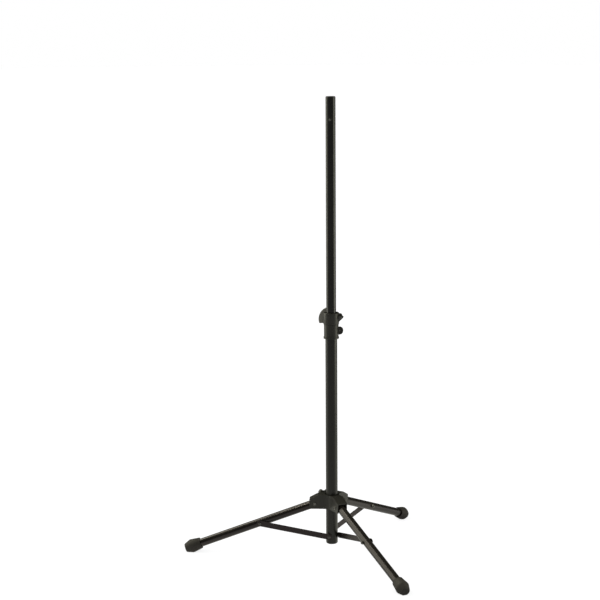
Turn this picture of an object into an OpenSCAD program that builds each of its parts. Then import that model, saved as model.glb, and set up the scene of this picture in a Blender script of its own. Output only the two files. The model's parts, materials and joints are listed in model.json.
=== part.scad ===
// Studio monitor stand: a 35 mm pole that slides in a floor tube, held by a clamp collar,
// on three tube legs that fold up with a sliding hub and flat braces.
// Z is up, the pole axis is X = Y = 0 and the floor is Z = 0.
// The left leg points along -X. Every length is in millimetres.

/* [Pole] */
// Height of the pole's top end above the floor
pole_h = 1650; // [1450:1:1690]
// Outer diameter of the sliding pole
pole_d = 35; // [30:0.1:36]
// Wall of the sliding pole
pole_wall = 1.5; // [1:0.1:2.5]
// Length of pole that a speaker's socket takes
socket_l = 71.5; // [60:0.5:95]
// Height of the floor tube's top end
tube_top = 844.5; // [780:0.5:880]
// Height of the floor tube's bottom end
tube_low = 43.5; // [34:0.5:50]
// Outer diameter of the floor tube
tube_d = 42.4; // [40:0.1:45]
// Wall of the floor tube
tube_wall = 1.5; // [1:0.1:1.6]
// Length of pole inside the floor tube
pole_in = 79; // [70:1:140]

/* [Legs] */
// Distance from the pole axis to a leg hinge
hinge_r = 61; // [59:0.5:72]
// Height of the leg hinges
hinge_z = 186.5; // [173:0.5:203]
// Distance from the pole axis to the middle of a foot
foot_r = 505; // [430:1:580]
// Height of a leg's centre line at the middle of its foot
foot_z = 22.5; // [20:0.25:24]
// Outer diameter of the legs
leg_d = 30; // [26:0.25:30.5]
// Wall of the leg tubes
leg_wall = 1.5; // [1:0.1:2.5]
// Length of leg past its hinge, towards the pole
leg_past = 14; // [10:0.5:15]
// Diameter of the leg rivets
rivet_d = 8; // [6:0.5:9]
// Diameter of the leg rivets' heads
rivet_head_d = 12; // [11:0.5:15]

/* [Feet] */
// Outer diameter of a foot's neck
foot_neck_d = 40; // [37:0.5:42]
// Diameter of a foot at its widest
foot_d = 49; // [46:0.5:52]
// Length of a foot from its neck ring to its middle
foot_neck_l = 30; // [27:0.5:36]
// Length of a foot from its middle to its end
foot_toe_l = 29.5; // [26:0.5:34]
// Diameter of a foot's flat end
foot_end_d = 33; // [26:0.5:36]
// Length of leg inside a foot
foot_socket = 37; // [32:0.5:42]

/* [Braces] */
// Distance along a leg from its hinge to the brace bolt
brace_at = 213; // [190:1:235]
// Distance from the pole axis to a brace's lower screw, along its leg
brace_r = 9.15; // [8:0.05:10]
// Height of the braces' lower screws
brace_z = 66.5; // [61:0.5:71]
// Width of a brace
brace_w = 20; // [16:0.5:22]
// Thickness of a brace
brace_t = 3; // [2:0.25:3.5]
// Gap between the floor tube and a brace that lies beside it
brace_off = 0.7; // [0.6:0.05:1.5]
// Diameter of the braces' bolts and screws
bolt_d = 6; // [5:0.5:7]
// Diameter of the heads of the braces' bolts and screws
bolt_head_d = 11; // [10:0.5:12.5]

/* [Hub] */
// Depth of the hub below the leg hinges
hub_under = 16.5; // [15:0.5:20]
// Height of the hub above the leg hinges
hub_over = 34.5; // [33:0.5:40]
// Length of a hub arm past its hinge
arm_past = 19.5; // [15:0.5:24]
// Height of a hub arm's end above its hinge
arm_end_over = 17.5; // [17:0.5:22]
// Distance from the hinge back to where the arm's roof starts to fall
roof_break = 12; // [8:0.5:16]
// Thickness of the hub's side walls
cheek = 3.6; // [2.5:0.1:4.5]
// Thickness of the hub's roof
roof = 3; // [2:0.1:3.5]
// Thickness of the hub's wall at its narrowest
hub_neck = 4.25; // [3.5:0.05:6]
// Wall of the slide bush inside the hub
bush_wall = 1.95; // [1.2:0.05:2.4]
// Height of the lock screw above the leg hinges
lock_over = 17; // [14:0.5:19]
// Diameter of the lock knob over its lobes
lock_knob_d = 53; // [46:0.5:56]
// Length of the lock knob
lock_knob_l = 17; // [12:0.5:20]
// Diameter of the lock screw
lock_d = 8; // [6:0.5:8]

/* [Collar] */
// Height of the collar above the floor tube's end
collar_over = 42; // [39:0.5:48]
// Length of collar on the floor tube
collar_under = 51; // [48:0.5:60]
// Outer diameter of the collar's upper part
collar_d = 56; // [54:0.5:58]
// Outer diameter of the collar's lower part
collar_low_d = 52; // [50:0.5:54]
// Outer diameter of the collar's bottom ring
collar_ring_d = 55.2; // [53:0.2:57]
// Height of the collar's bottom ring
collar_ring_h = 6; // [4:0.5:8]
// Width of the slit between the collar's lugs
slit = 3; // [2:0.25:4]
// Thickness of a lug
lug_t = 7.5; // [7:0.25:9]
// Height of the upper lugs above their bolt
clamp_lug_up = 13; // [12:0.25:14]
// Reach of the upper lugs' corner past their bolt
clamp_lug_tip = 12.5; // [11:0.25:14]
// Radius of the lower lugs
fix_lug_r = 13; // [11:0.1:14]
// Distance from the pole axis to the lugs' bolts
lug_x = 31.25; // [31:0.25:33]
// Distance from the collar's top down to the clamp bolt
clamp_down = 17; // [15:0.5:18]
// Distance from the collar's bottom up to its fixing screw
fix_up = 28; // [24:0.5:31]
// Diameter of the clamp bolt
clamp_d = 10; // [8:0.5:10]
// Size of the clamp nut across its flats
nut_af = 16; // [15:0.5:17]

/* [Clamp lever] */
// Distance from the clamp bolt to the lever's tip
lever_l = 77.5; // [66:0.5:90]
// Radius of the lever's rounded paddle
paddle_r = 43; // [38:1:46]
// Depth of the paddle's flat edge below the clamp bolt
paddle_drop = 27; // [24:0.5:30]
// Thickness of the paddle
paddle_t = 11; // [8:0.5:14]
// Radius of the lever's boss
boss_r = 8.5; // [7.5:0.25:8.75]

/* [Hidden] */
$fn = 96;

// Directions of the three legs, seen from above
LEFT = 180;
FRONT = LEFT + 120;
REAR = LEFT - 120;
LEGS = [LEFT, FRONT, REAR];
// The lock screw stands midway between the rear and the left leg
LOCK = 120;
// The pole screw faces the front
POLE_SCREW = 266;

// Clearances
fit = 0.05;      // round pieces that turn or slide in each other
seat = 0.02;     // pieces held fast
play = 0.2;      // flat faces that pass each other
apart = 0.4;     // faces of different moving pieces
over = 1;        // length by which a cut runs past what it cuts

pole_r = pole_d / 2;
pole_bore = pole_r - pole_wall;
tube_r = tube_d / 2;
tube_bore = tube_r - tube_wall;
leg_r = leg_d / 2;
leg_bore = leg_r - leg_wall;

// A leg runs from its hinge down to its foot
leg_fall = hinge_z - foot_z;
leg_out = foot_r - hinge_r;
leg_slope = atan2(leg_fall, leg_out);
leg_l = norm([leg_fall, leg_out]);
foot_belly = 4;
foot_round = 14;
lip_round = 1;
toe_round = 3;
foot_cut = 200;

// A brace runs from its screw at the tube up to its bolt on the leg
bolt_r = hinge_r + brace_at * cos(leg_slope);
bolt_z = hinge_z - brace_at * sin(leg_slope);
brace_slope = atan2(bolt_z - brace_z, bolt_r - brace_r);
brace_l = norm([bolt_z - brace_z, bolt_r - brace_r]);
brace_in_low = tube_r + brace_off;
brace_in_high = leg_r + brace_off;
brace_lean = (brace_in_low - brace_in_high) / brace_l;
lean_gap = 0.15;
pin_r = bolt_d / 2;
head_t = 2.4;
bolt_head_t = 4;
bolt_dome_t = 1.5;
stud_past = 2;
nut_t = 6.5;
nut_r = 6.6;
screw_in = 5;
spacer_in = 0.5;

// Hub
hub_low = hinge_z - hub_under;
hub_top = hinge_z + hub_over;
hub_h = hub_over + hub_under;
channel_w = leg_r + apart;
arm_w = channel_w + cheek;
arm_r = hinge_r + arm_past;
arm_end_z = hinge_z + arm_end_over;
roof_r = hinge_r - roof_break;
roof_fall = (hub_top - arm_end_z) / (arm_r - roof_r);
roof_cos = cos(atan(roof_fall));
bush_out = tube_r + fit + bush_wall;
hub_bore = bush_out + seat;
hub_waist = hub_bore + hub_neck;
channel_back = 0.6;
channel_r = hub_waist + channel_back;
mouth_gap = 2.6;
mouth_deep = 4;
bush_below = 2;
// Round hollow between two arms: it runs into the side of each arm and leaves the neck between
hollow_bite = 0.5;
hollow_r = (hub_waist * sin(60) - arm_w + hollow_bite) / (1 - sin(60));
hollow_at = hub_waist + hollow_r;
core_turn = 33;
core_reach = 0.75 * hollow_at;
// The leg's lower inner corner rests just above a web across the arm
web_past = 0.3;
web_below = 0.6;
corner_r = hinge_r - leg_past * cos(leg_slope) - leg_r * sin(leg_slope);
corner_z = hinge_z + leg_past * sin(leg_slope) - leg_r * cos(leg_slope);
web_r = corner_r + web_past;
web_z = corner_z - web_below;
rivet_r = rivet_d / 2;
rivet_head_r = rivet_head_d / 2;
rivet_head_t = 2.2;
leg_plug_l = 34;

// Hub lock
lock_z = hinge_z + lock_over;
lock_r = lock_d / 2;
lock_boss_r = lock_r + 5;
insert_r = lock_r + 2.4;
lock_boss_end = hub_waist + 11;
knob_neck_r = 9;
knob_neck_l = 8;
knob_start = lock_boss_end + 1.5;
knob_r = lock_knob_d / 2;
knob_lobes = 4;
knob_waist = 15.6;
flute_r = 13;
knob_cover = 4;
lock_screw_end = knob_start + knob_neck_l + lock_knob_l - knob_cover;

// Collar, from the bottom up
collar_low = tube_top - collar_under;
collar_top = tube_top + collar_over;
collar_step = tube_top + 1;
collar_up = collar_top - collar_step;
collar_r = collar_d / 2;
collar_low_r = collar_low_d / 2;
collar_ring_r = collar_ring_d / 2;
collar_bore = tube_r + fit;
collar_edge = 1;
collar_round = 2;
lip = 3;
lip_gap = 1.6;
clamp_z = collar_top - clamp_down;
fix_z = collar_low + fix_up;
lug_y = slit / 2 + lug_t;
clamp_r = clamp_d / 2;
nut_corner = nut_af / 2 / cos(30);
nut_turn = -15;
lug_side = 7.5;
lug_round = 7;
lug_notch = 4.5;
lug_tip_up = 1;
lug_bevel = 1.25;
lug_slope = 16;
fix_lug_in = 1.75;
clamp_nut_t = 7;
clamp_nut_sunk = 1.5;
clamp_nut_y = clamp_nut_sunk - lug_y - clamp_nut_t;
fix_nut_sunk = 3;
fix_r = 2.5;
fix_head_r = 4.5;
fix_head_t = 4;
fix_nut_r = 4.6;
fix_past = 2;
key_deep = 2.2;
key_r = 2.3;
washer_t = 1.5;
washer_r = 9;

// Liner between the collar and the pole
liner_bore = pole_r + fit;
liner_r = collar_bore - fit;
skirt_l = 28.5;
liner_slit = 2;

// Lever: its boss stands on the washer and its arm bends round the collar to the paddle
paddle_y = collar_r + 1.5;
lever_y = lug_y + washer_t + 2 * seat;
boss_end = lever_y + 11;
arm_from = boss_end - 3.5;
arm_l = 21;
dome_drop = 12;
shoulder_r = clamp_r + 1.5;
shoulder_t = 3;
shoulder_y = lever_y + 3;
boss_cover = 2;

// Pole
glide_flange = 25;
glide_spigot = 30;
glide_bore = 13;
pole_low = tube_top - pole_in;
cap_t = 3;
cap_in = 0.7;
pole_end = pole_h - cap_t;
groove_z = pole_h - socket_l;
groove_w = 2;
groove_t = 0.4;
insert_l = 100;
pole_screw_z = groove_z - 8;
pole_screw_r = 2.5;
pole_screw_head_r = 4.5;
pole_screw_in = pole_bore - 8;
cap_bevel = 1.2;

// Bottom plug
plug_up = 55;
cap_round = 6;
cap_down = 6;

black_metal = [0.09, 0.09, 0.09];
black_plastic = [0.11, 0.11, 0.11];
dark_rubber = [0.17, 0.17, 0.17];
dark_zinc = [0.30, 0.30, 0.29];
brass = [0.60, 0.50, 0.28];

// Points of a round corner about [x, y], from one angle to another
function arc(x, y, r, from, to, steps = 8) =
    [for (k = [0 : steps])
        let (a = from + (to - from) * k / steps)
        [x + r * cos(a), y + r * sin(a)]];

// A tube or a ring about Z
module pipe(r_out, r_in, low, high) {
    translate([0, 0, low])
        difference() {
            cylinder(r = r_out, h = high - low);
            translate([0, 0, -over])
                cylinder(r = r_in, h = high - low + 2 * over);
        }
}

// A round bar along Y
module bar_y(r, from, to) {
    translate([0, from, 0])
        rotate([-90, 0, 0])
            cylinder(r = r, h = to - from);
}

// A flat outline in X and Z, made solid from one Y to another
module slab_y(from, to) {
    translate([0, to, 0])
        rotate([90, 0, 0])
            linear_extrude(height = to - from)
                children();
}

// A hexagon with a corner that points along X, or is turned up from it
module hex(corner, turn = 0) {
    rotate(turn)
        circle(r = corner, $fn = 6);
}

// A low domed head that stands out along Y
module dome_y(r, t, from, way = 1) {
    ball = (r * r + t * t) / (2 * t);
    side = asin(r / ball);
    translate([0, from, 0])
        rotate([-90 * way, 0, 0])
            rotate_extrude()
                polygon(concat([[0, 0]], arc(0, t - ball, ball, 90 - side, 90)));
}

// Frame of an arm or leg seen from above: X runs outward and Y to its left
module at_arm(way) {
    rotate([0, 0, way])
        children();
}

// Frame of a leg: X runs from the hinge along the leg
module on_leg(way) {
    at_arm(way)
        translate([hinge_r, 0, hinge_z])
            rotate([0, leg_slope, 0])
                children();
}

// Frame of a brace: X runs from its lower screw to its bolt
module on_brace(way) {
    at_arm(way)
        translate([brace_r, 0, brace_z])
            rotate([0, -brace_slope, 0])
                children();
}

// Frame of the hub's lock screw: X runs outward
module at_lock() {
    translate([0, 0, lock_z])
        rotate([0, 0, LOCK])
            children();
}

// Round bar along X
module bar_x(r, from, to) {
    translate([from, 0, 0])
        rotate([0, 90, 0])
            cylinder(r = r, h = to - from);
}

// Floor tube with its three screw holes
module lower_tube() {
    color(black_metal)
        difference() {
            pipe(tube_r, tube_bore, tube_low, tube_top);
            for (way = LEGS)
                on_brace(way)
                    bar_y(pin_r + fit, screw_in, tube_r + over);
        }
}

// Plug that closes the floor tube and takes the brace screws
module bottom_plug() {
    color(black_plastic)
        difference() {
            union() {
                translate([0, 0, tube_low - seat])
                    cylinder(r = tube_bore - fit, h = plug_up + seat);
                translate([0, 0, tube_low - cap_down])
                    rotate_extrude()
                        polygon(concat(
                            [[0, 0]],
                            arc(tube_r - cap_round, cap_round, cap_round, -90, 0),
                            [[tube_r, cap_down - seat], [0, cap_down - seat]]));
            }
            for (way = LEGS)
                on_brace(way)
                    bar_y(pin_r + seat, screw_in - seat, tube_r + over);
        }
}

// Shouldered screws on which the braces turn
module brace_pivot_screws() {
    head_y = brace_in_low + brace_t + play;
    color(dark_zinc)
        for (way = LEGS)
            on_brace(way) {
                bar_y(pin_r, screw_in, head_y);
                dome_y(bolt_head_d / 2, head_t, head_y);
            }
}

// Saddle spacers between the floor tube and the braces
module brace_pivot_spacers() {
    color(black_plastic)
        for (way = LEGS)
            difference() {
                on_brace(way)
                    difference() {
                        bar_y(bolt_head_d / 2 - spacer_in, 0, brace_in_low - play);
                        bar_y(pin_r + fit, -over, brace_in_low);
                    }
                cylinder(r = tube_r + seat, h = tube_top);
            }
}

// Upper lug about the clamp bolt: a rounded top corner, a short point and a slope back to the collar
module clamp_lug() {
    polygon(concat(
        [[-lug_x, clamp_lug_up]],
        arc(lug_side - lug_round, clamp_lug_up - lug_round, lug_round, 90, 0),
        [
            [lug_side, lug_notch], [clamp_lug_tip - lug_bevel, lug_tip_up + lug_bevel],
            [clamp_lug_tip, lug_tip_up],
            [clamp_lug_tip - lug_tip_up - lug_slope, -lug_slope], [-lug_x, -lug_slope]
        ]));
}

// Lower lug about the fixing screw
module fix_lug() {
    translate([-fix_lug_in, 0])
        circle(r = fix_lug_r);
    translate([-lug_x, -fix_lug_r])
        square([lug_x - fix_lug_in, 2 * fix_lug_r]);
}

// Split collar: its lower half grips the floor tube, its upper half the pole's liner
module clamp_collar() {
    color(black_plastic)
        difference() {
            union() {
                translate([0, 0, collar_step])
                    rotate_extrude()
                        polygon(concat(
                            [[0, 0], [collar_r - collar_edge, 0], [collar_r, collar_edge]],
                            arc(collar_r - collar_round, collar_up - collar_round, collar_round, 0, 90),
                            [[0, collar_up]]));
                translate([0, 0, collar_low])
                    cylinder(r = collar_low_r, h = collar_step - collar_low + over);
                translate([0, 0, collar_low])
                    cylinder(r = collar_ring_r, h = collar_ring_h);
                translate([lug_x, 0, clamp_z])
                    slab_y(-lug_y, lug_y)
                        clamp_lug();
                translate([lug_x, 0, fix_z])
                    slab_y(-lug_y, lug_y)
                        fix_lug();
            }
            translate([0, 0, collar_low - over])
                cylinder(r = collar_bore, h = collar_top - lip - collar_low + over);
            translate([0, 0, collar_low])
                cylinder(r = pole_r + lip_gap, h = collar_top - collar_low + over);
            translate([0, -slit / 2, collar_low - over])
                cube([lug_x + fix_lug_r + over, slit, collar_top - collar_low + 2 * over]);
            translate([lug_x, 0, clamp_z]) {
                bar_y(clamp_r + fit, -lug_y - over, lug_y + over);
                bar_y(nut_corner + apart, -collar_r, -lug_y);
                slab_y(-lug_y - over, clamp_nut_sunk - lug_y)
                    hex(nut_corner + seat, nut_turn);
                bar_y(washer_r + apart, lug_y, collar_r);
            }
            translate([lug_x, 0, fix_z]) {
                bar_y(fix_r + fit, -lug_y - over, lug_y + over);
                bar_y(fix_head_r + apart, -lug_y - over, fix_head_t - lug_y);
                slab_y(lug_y - fix_nut_sunk, lug_y + over)
                    hex(fix_nut_r + seat);
            }
        }
}

// Split sleeve that guides the pole and fills the collar
module clamp_liner() {
    color(black_plastic)
        difference() {
            union() {
                translate([0, 0, tube_top + play])
                    cylinder(r = liner_r, h = collar_over - lip - 2 * play);
                translate([0, 0, tube_top - skirt_l])
                    cylinder(r = tube_bore - fit, h = skirt_l + play + over);
            }
            translate([0, 0, tube_top - skirt_l - over])
                cylinder(r = liner_bore, h = skirt_l + collar_over + 2 * over);
            translate([0, -liner_slit / 2, tube_top + liner_slit])
                cube([liner_r + over, liner_slit, collar_over]);
        }
}

// Nut let into the front lug
module clamp_nut() {
    color(dark_zinc)
        translate([lug_x, 0, clamp_z])
            difference() {
                slab_y(clamp_nut_y, clamp_nut_sunk - lug_y - seat)
                    hex(nut_corner, nut_turn);
                bar_y(clamp_r + fit, clamp_nut_y - over, 0);
            }
}

// Screw that fixes the collar to the floor tube
module collar_screw() {
    head_y = fix_head_t - lug_y;
    color(dark_zinc)
        translate([lug_x, 0, fix_z])
            difference() {
                union() {
                    bar_y(fix_r, head_y - over, lug_y + fix_past);
                    bar_y(fix_head_r, seat - lug_y, head_y - seat);
                }
                slab_y(-lug_y - over, key_deep - lug_y)
                    hex(key_r);
            }
}

// Nut of the collar's fixing screw, let into the rear lug
module collar_screw_nut() {
    color(dark_zinc)
        translate([lug_x, 0, fix_z])
            difference() {
                slab_y(lug_y - fix_nut_sunk + seat, lug_y + fix_past / 2)
                    hex(fix_nut_r);
                bar_y(fix_r + seat, 0, lug_y + fix_past);
            }
}

// Bush on the pole's foot, which slides in the floor tube
module glide_bush() {
    color(black_plastic)
        difference() {
            union() {
                translate([0, 0, pole_low - glide_flange])
                    cylinder(r = tube_bore - fit, h = glide_flange - play);
                translate([0, 0, pole_low - glide_flange])
                    cylinder(r = pole_bore - fit, h = glide_flange + glide_spigot);
            }
            translate([0, 0, pole_low - glide_flange - over])
                cylinder(r = glide_bore, h = glide_flange + glide_spigot + 2 * over);
        }
}

// Frame of the screw near the pole's top: X runs outward
module at_pole_screw() {
    translate([0, 0, pole_screw_z])
        rotate([0, 0, POLE_SCREW])
            children();
}

// Sliding pole with the groove that marks how deep it goes into a socket
module upper_tube() {
    color(black_metal)
        difference() {
            pipe(pole_r, pole_bore, pole_low, pole_end);
            pipe(pole_r + over, pole_r - groove_t, groove_z, groove_z + groove_w);
            at_pole_screw()
                bar_x(pole_screw_r + fit, 0, pole_r + over);
        }
}

// Insert with a cap, inside the pole's top
module top_insert() {
    color(black_plastic)
        difference() {
            union() {
                translate([0, 0, pole_h - insert_l])
                    cylinder(r = pole_bore - fit, h = insert_l);
                translate([0, 0, pole_end + seat])
                    rotate_extrude()
                        polygon([[0, 0], [pole_r - cap_in, 0], [pole_r - cap_in, cap_t - cap_bevel],
                                 [pole_r - cap_in - cap_bevel, cap_t - seat], [0, cap_t - seat]]);
            }
            at_pole_screw()
                bar_x(pole_screw_r + seat, pole_screw_in - seat, pole_r);
        }
}

// Screw that holds the insert
module pole_screw() {
    color(dark_zinc)
        at_pole_screw() {
            bar_x(pole_screw_r, pole_screw_in, pole_r);
            translate([pole_r + seat, 0, 0])
                rotate([0, 0, -90])
                    dome_y(pole_screw_head_r, head_t, 0);
        }
}

// Lever seen from the front, about the clamp bolt: X and Z
module lever_outline() {
    arm_x = -arm_l - boss_r;
    intersection() {
        translate([paddle_r - lever_l, -dome_drop])
            circle(r = paddle_r);
        translate([-lever_l - over, -paddle_drop])
            square([lever_l + over - arm_l, 2 * paddle_r]);
    }
    polygon([[arm_x, -paddle_drop], [0, -boss_r], [0, boss_r], [arm_x, 2 * boss_r]]);
    circle(r = boss_r);
}

// Lever seen from above, about the clamp bolt: X and Y
module lever_plan() {
    polygon([
        [-lever_l - over, paddle_y], [-arm_l, paddle_y], [-boss_r, arm_from],
        [boss_r, arm_from], [boss_r, boss_end], [0, boss_end],
        [-arm_l, paddle_y + paddle_t], [-lever_l - over, paddle_y + paddle_t]
    ]);
}

// Room that the collar takes as the lever turns round the clamp bolt
module collar_sweep() {
    rotate([-90, 0, 0])
        rotate_extrude()
            translate([lug_x, 0])
                circle(r = collar_r + apart);
}

// Clamp lever behind the collar, moulded round the end of its bolt
module clamp_lever() {
    color(black_plastic)
        translate([lug_x, 0, clamp_z])
            difference() {
                union() {
                    difference() {
                        intersection() {
                            slab_y(arm_from, paddle_y + paddle_t)
                                lever_outline();
                            translate([0, 0, -paddle_r - paddle_drop])
                                linear_extrude(height = 3 * paddle_r)
                                    lever_plan();
                        }
                        collar_sweep();
                    }
                    bar_y(boss_r, lever_y, boss_end);
                }
                bar_y(clamp_r + seat, lever_y - over, boss_end - boss_cover);
                bar_y(shoulder_r + seat, shoulder_y - seat, shoulder_y + shoulder_t + seat);
            }
}

// Clamp bolt, from its end in the lever through both lugs to the nut
module clamp_bolt() {
    color(dark_zinc)
        translate([lug_x, 0, clamp_z]) {
            bar_y(clamp_r, clamp_nut_y - over, boss_end - boss_cover - seat);
            bar_y(shoulder_r, shoulder_y, shoulder_y + shoulder_t);
        }
}

// Washer between the lever and the rear lug
module clamp_washer() {
    color(dark_zinc)
        translate([lug_x, 0, clamp_z])
            difference() {
                bar_y(washer_r, lug_y + seat, lug_y + washer_t + seat);
                bar_y(clamp_r + seat, lug_y, lug_y + washer_t + over);
            }
}

// Side view of what is cut off above a hub arm's falling roof: X outward, Y up from the floor
module roof_cut() {
    out = arm_r + over;
    polygon([
        [roof_r, hub_top], [out, hub_top - (out - roof_r) * roof_fall],
        [out, hub_top + over], [roof_r, hub_top + over]
    ]);
}

// Side view of the channel in a hub arm, with the web that the leg rests on
module channel_outline() {
    under = hub_top - roof;
    inner_break = roof_r - roof * (1 / roof_cos - 1) / roof_fall;
    out = arm_r + over;
    polygon([
        [web_r, hub_low - over],
        [out, hub_low - over],
        [out, under - (out - inner_break) * roof_fall],
        [inner_break, under],
        [channel_r, under],
        [channel_r, web_z],
        [web_r, web_z]
    ]);
}

// Plan of the hub: three arms with a round hollow between each two of them
module hub_plan() {
    difference() {
        for (way = LEGS)
            rotate(way + 60)
                polygon([
                    [0, 0],
                    [core_reach * cos(core_turn), -core_reach * sin(core_turn)],
                    [hollow_at, 0],
                    [core_reach * cos(core_turn), core_reach * sin(core_turn)]
                ]);
        for (way = LEGS)
            rotate(way + 60)
                translate([hollow_at, 0])
                    circle(r = hollow_r, $fn = 192);
    }
    for (way = LEGS)
        rotate(way)
            translate([0, -arm_w])
                square([arm_r, 2 * arm_w]);
}

// Sliding hub with three channelled arms and a boss for the lock screw
module hub() {
    color(black_plastic)
        difference() {
            union() {
                translate([0, 0, hub_low])
                    linear_extrude(height = hub_h)
                        hub_plan();
                at_lock()
                    bar_x(lock_boss_r, hub_bore + over, lock_boss_end);
            }
            translate([0, 0, hub_low - over])
                cylinder(r = hub_bore, h = hub_h + 2 * over);
            translate([0, 0, hub_top - mouth_deep])
                cylinder(r = hub_bore + mouth_gap, h = mouth_deep + over);
            for (way = LEGS)
                at_arm(way) {
                    slab_y(-arm_w - over, arm_w + over)
                        roof_cut();
                    slab_y(-channel_w, channel_w)
                        channel_outline();
                    translate([hinge_r, 0, hinge_z])
                        bar_y(rivet_r + seat, -arm_w - over, arm_w + over);
                }
            at_lock() {
                bar_x(lock_r + apart, 0, lock_boss_end + over);
                bar_x(insert_r + seat, hub_waist, lock_boss_end + over);
            }
        }
}

// Slide bush between the hub and the floor tube
module hub_bush() {
    color(black_plastic)
        difference() {
            pipe(bush_out, tube_r + fit, hub_low + over, hub_top - bush_below);
            at_lock()
                bar_x(lock_r + apart, 0, hub_waist);
        }
}

// Rivets on which the legs turn
module leg_rivets() {
    color(dark_zinc)
        for (way = LEGS)
            at_arm(way)
                translate([hinge_r, 0, hinge_z]) {
                    bar_y(rivet_r, -arm_w - seat, arm_w + seat);
                    dome_y(rivet_head_r, rivet_head_t, arm_w + seat);
                    dome_y(rivet_head_r, rivet_head_t, -arm_w - seat, -1);
                }
}

// Threaded insert in the hub for the lock screw
module lock_insert() {
    color(brass)
        at_lock()
            difference() {
                bar_x(insert_r, hub_waist + seat, lock_boss_end);
                bar_x(lock_r + fit, hub_waist - over, lock_boss_end + over);
            }
}

// Lock screw, whose tip presses on the floor tube
module lock_screw() {
    color(dark_zinc)
        at_lock()
            bar_x(lock_r, tube_r + play, lock_screw_end);
}

// Lobed knob on the lock screw
module lock_knob() {
    color(black_plastic)
        at_lock()
            difference() {
                union() {
                    bar_x(knob_neck_r, knob_start, knob_start + knob_neck_l + over);
                    translate([knob_start + knob_neck_l, 0, 0])
                        rotate([0, 90, 0])
                            difference() {
                                cylinder(r = knob_r, h = lock_knob_l);
                                for (k = [0 : knob_lobes - 1])
                                    rotate(k * 360 / knob_lobes)
                                        translate([knob_waist + flute_r, 0, -over])
                                            cylinder(r = flute_r, h = lock_knob_l + 2 * over);
                            }
                }
                bar_x(lock_r + seat, knob_start - over, lock_screw_end + seat);
            }
}

// Leg tube from its end in the hub to its end in the foot
module leg_tube(way) {
    color(black_metal)
        on_leg(way)
            difference() {
                bar_x(leg_r, -leg_past, leg_l - foot_neck_l + foot_socket);
                bar_x(leg_bore, -leg_past - over, leg_l + foot_socket);
                bar_y(rivet_r + fit, -leg_d, leg_d);
                translate([brace_at, 0, 0])
                    bar_y(pin_r + fit, -leg_d, leg_d);
            }
}

// Plug that stiffens the leg round its rivet
module leg_plug(way) {
    color(black_plastic)
        on_leg(way)
            difference() {
                bar_x(leg_bore - fit, -leg_past, leg_plug_l - leg_past);
                bar_y(rivet_r + fit, -leg_d, leg_d);
            }
}

// Outline of a foot about the leg's line: X along the leg from the foot's middle, Y outward
function foot_outline() =
    let (
        wide = foot_d / 2,
        neck = foot_neck_d / 2,
        end = foot_end_d / 2,
        back_turn = atan((wide - neck) / (foot_neck_l + foot_belly)),
        toe_turn = atan((wide - end) / (foot_toe_l - foot_belly))
    )
    concat(
        [[-foot_neck_l, 0]],
        arc(lip_round - foot_neck_l, neck - lip_round, lip_round, 180, 90 + back_turn),
        arc(foot_belly, wide - foot_round, foot_round, 90 + back_turn, 90 - toe_turn),
        arc(foot_toe_l - toe_round, end - toe_round, toe_round, 90 - toe_turn, 0),
        [[foot_toe_l, 0]]);

// Rubber foot, flat where it stands on the floor
module foot(way) {
    color(dark_rubber)
        difference() {
            on_leg(way)
                translate([leg_l, 0, 0])
                    difference() {
                        rotate([0, 90, 0])
                            rotate([0, 0, 90])
                                rotate_extrude()
                                    polygon([for (p = foot_outline()) [p[1], p[0]]]);
                        bar_x(leg_r + seat, -foot_neck_l - over, foot_socket - foot_neck_l + seat);
                    }
            at_arm(way)
                translate([foot_r - foot_cut / 2, -foot_cut / 2, -foot_cut])
                    cube(foot_cut);
        }
}

// Nut and stud of a brace bolt, which stay on the leg
module brace_nut(way) {
    color(dark_zinc)
        on_leg(way)
            translate([brace_at, 0, 0]) {
                bar_y(pin_r, -leg_r - nut_t - stud_past, leg_r);
                slab_y(-leg_r - nut_t - seat, -leg_r - seat)
                    hex(nut_r);
            }
}

// Flat brace, straight from beside the floor tube to beside the leg
module brace(way) {
    end = brace_w / 2;
    low_y = brace_in_low + brace_lean * end;
    high_y = brace_in_high - brace_lean * end;
    color(black_metal)
        on_brace(way)
            difference() {
                intersection() {
                    linear_extrude(height = brace_w, center = true)
                        polygon([
                            [-end, low_y], [brace_l + end, high_y],
                            [brace_l + end, high_y + brace_t], [-end, low_y + brace_t]
                        ]);
                    slab_y(0, tube_d) {
                        circle(r = end);
                        translate([0, -end])
                            square([brace_l, brace_w]);
                        translate([brace_l, 0])
                            circle(r = end);
                    }
                }
                bar_y(pin_r + fit, 0, tube_d);
                translate([brace_l, 0, 0])
                    bar_y(pin_r + seat, 0, tube_d);
            }
}

// Head and shank of a brace bolt, which stay on the brace
module brace_bolt(way) {
    head_y = brace_in_high + brace_t + lean_gap;
    dome_from = head_y + bolt_head_t - bolt_dome_t;
    color(dark_zinc)
        on_brace(way)
            translate([brace_l, 0, 0]) {
                bar_y(pin_r, leg_r + play, head_y + over);
                bar_y(bolt_head_d / 2, head_y, dome_from);
                dome_y(bolt_head_d / 2, bolt_dome_t, dome_from);
            }
}

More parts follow.
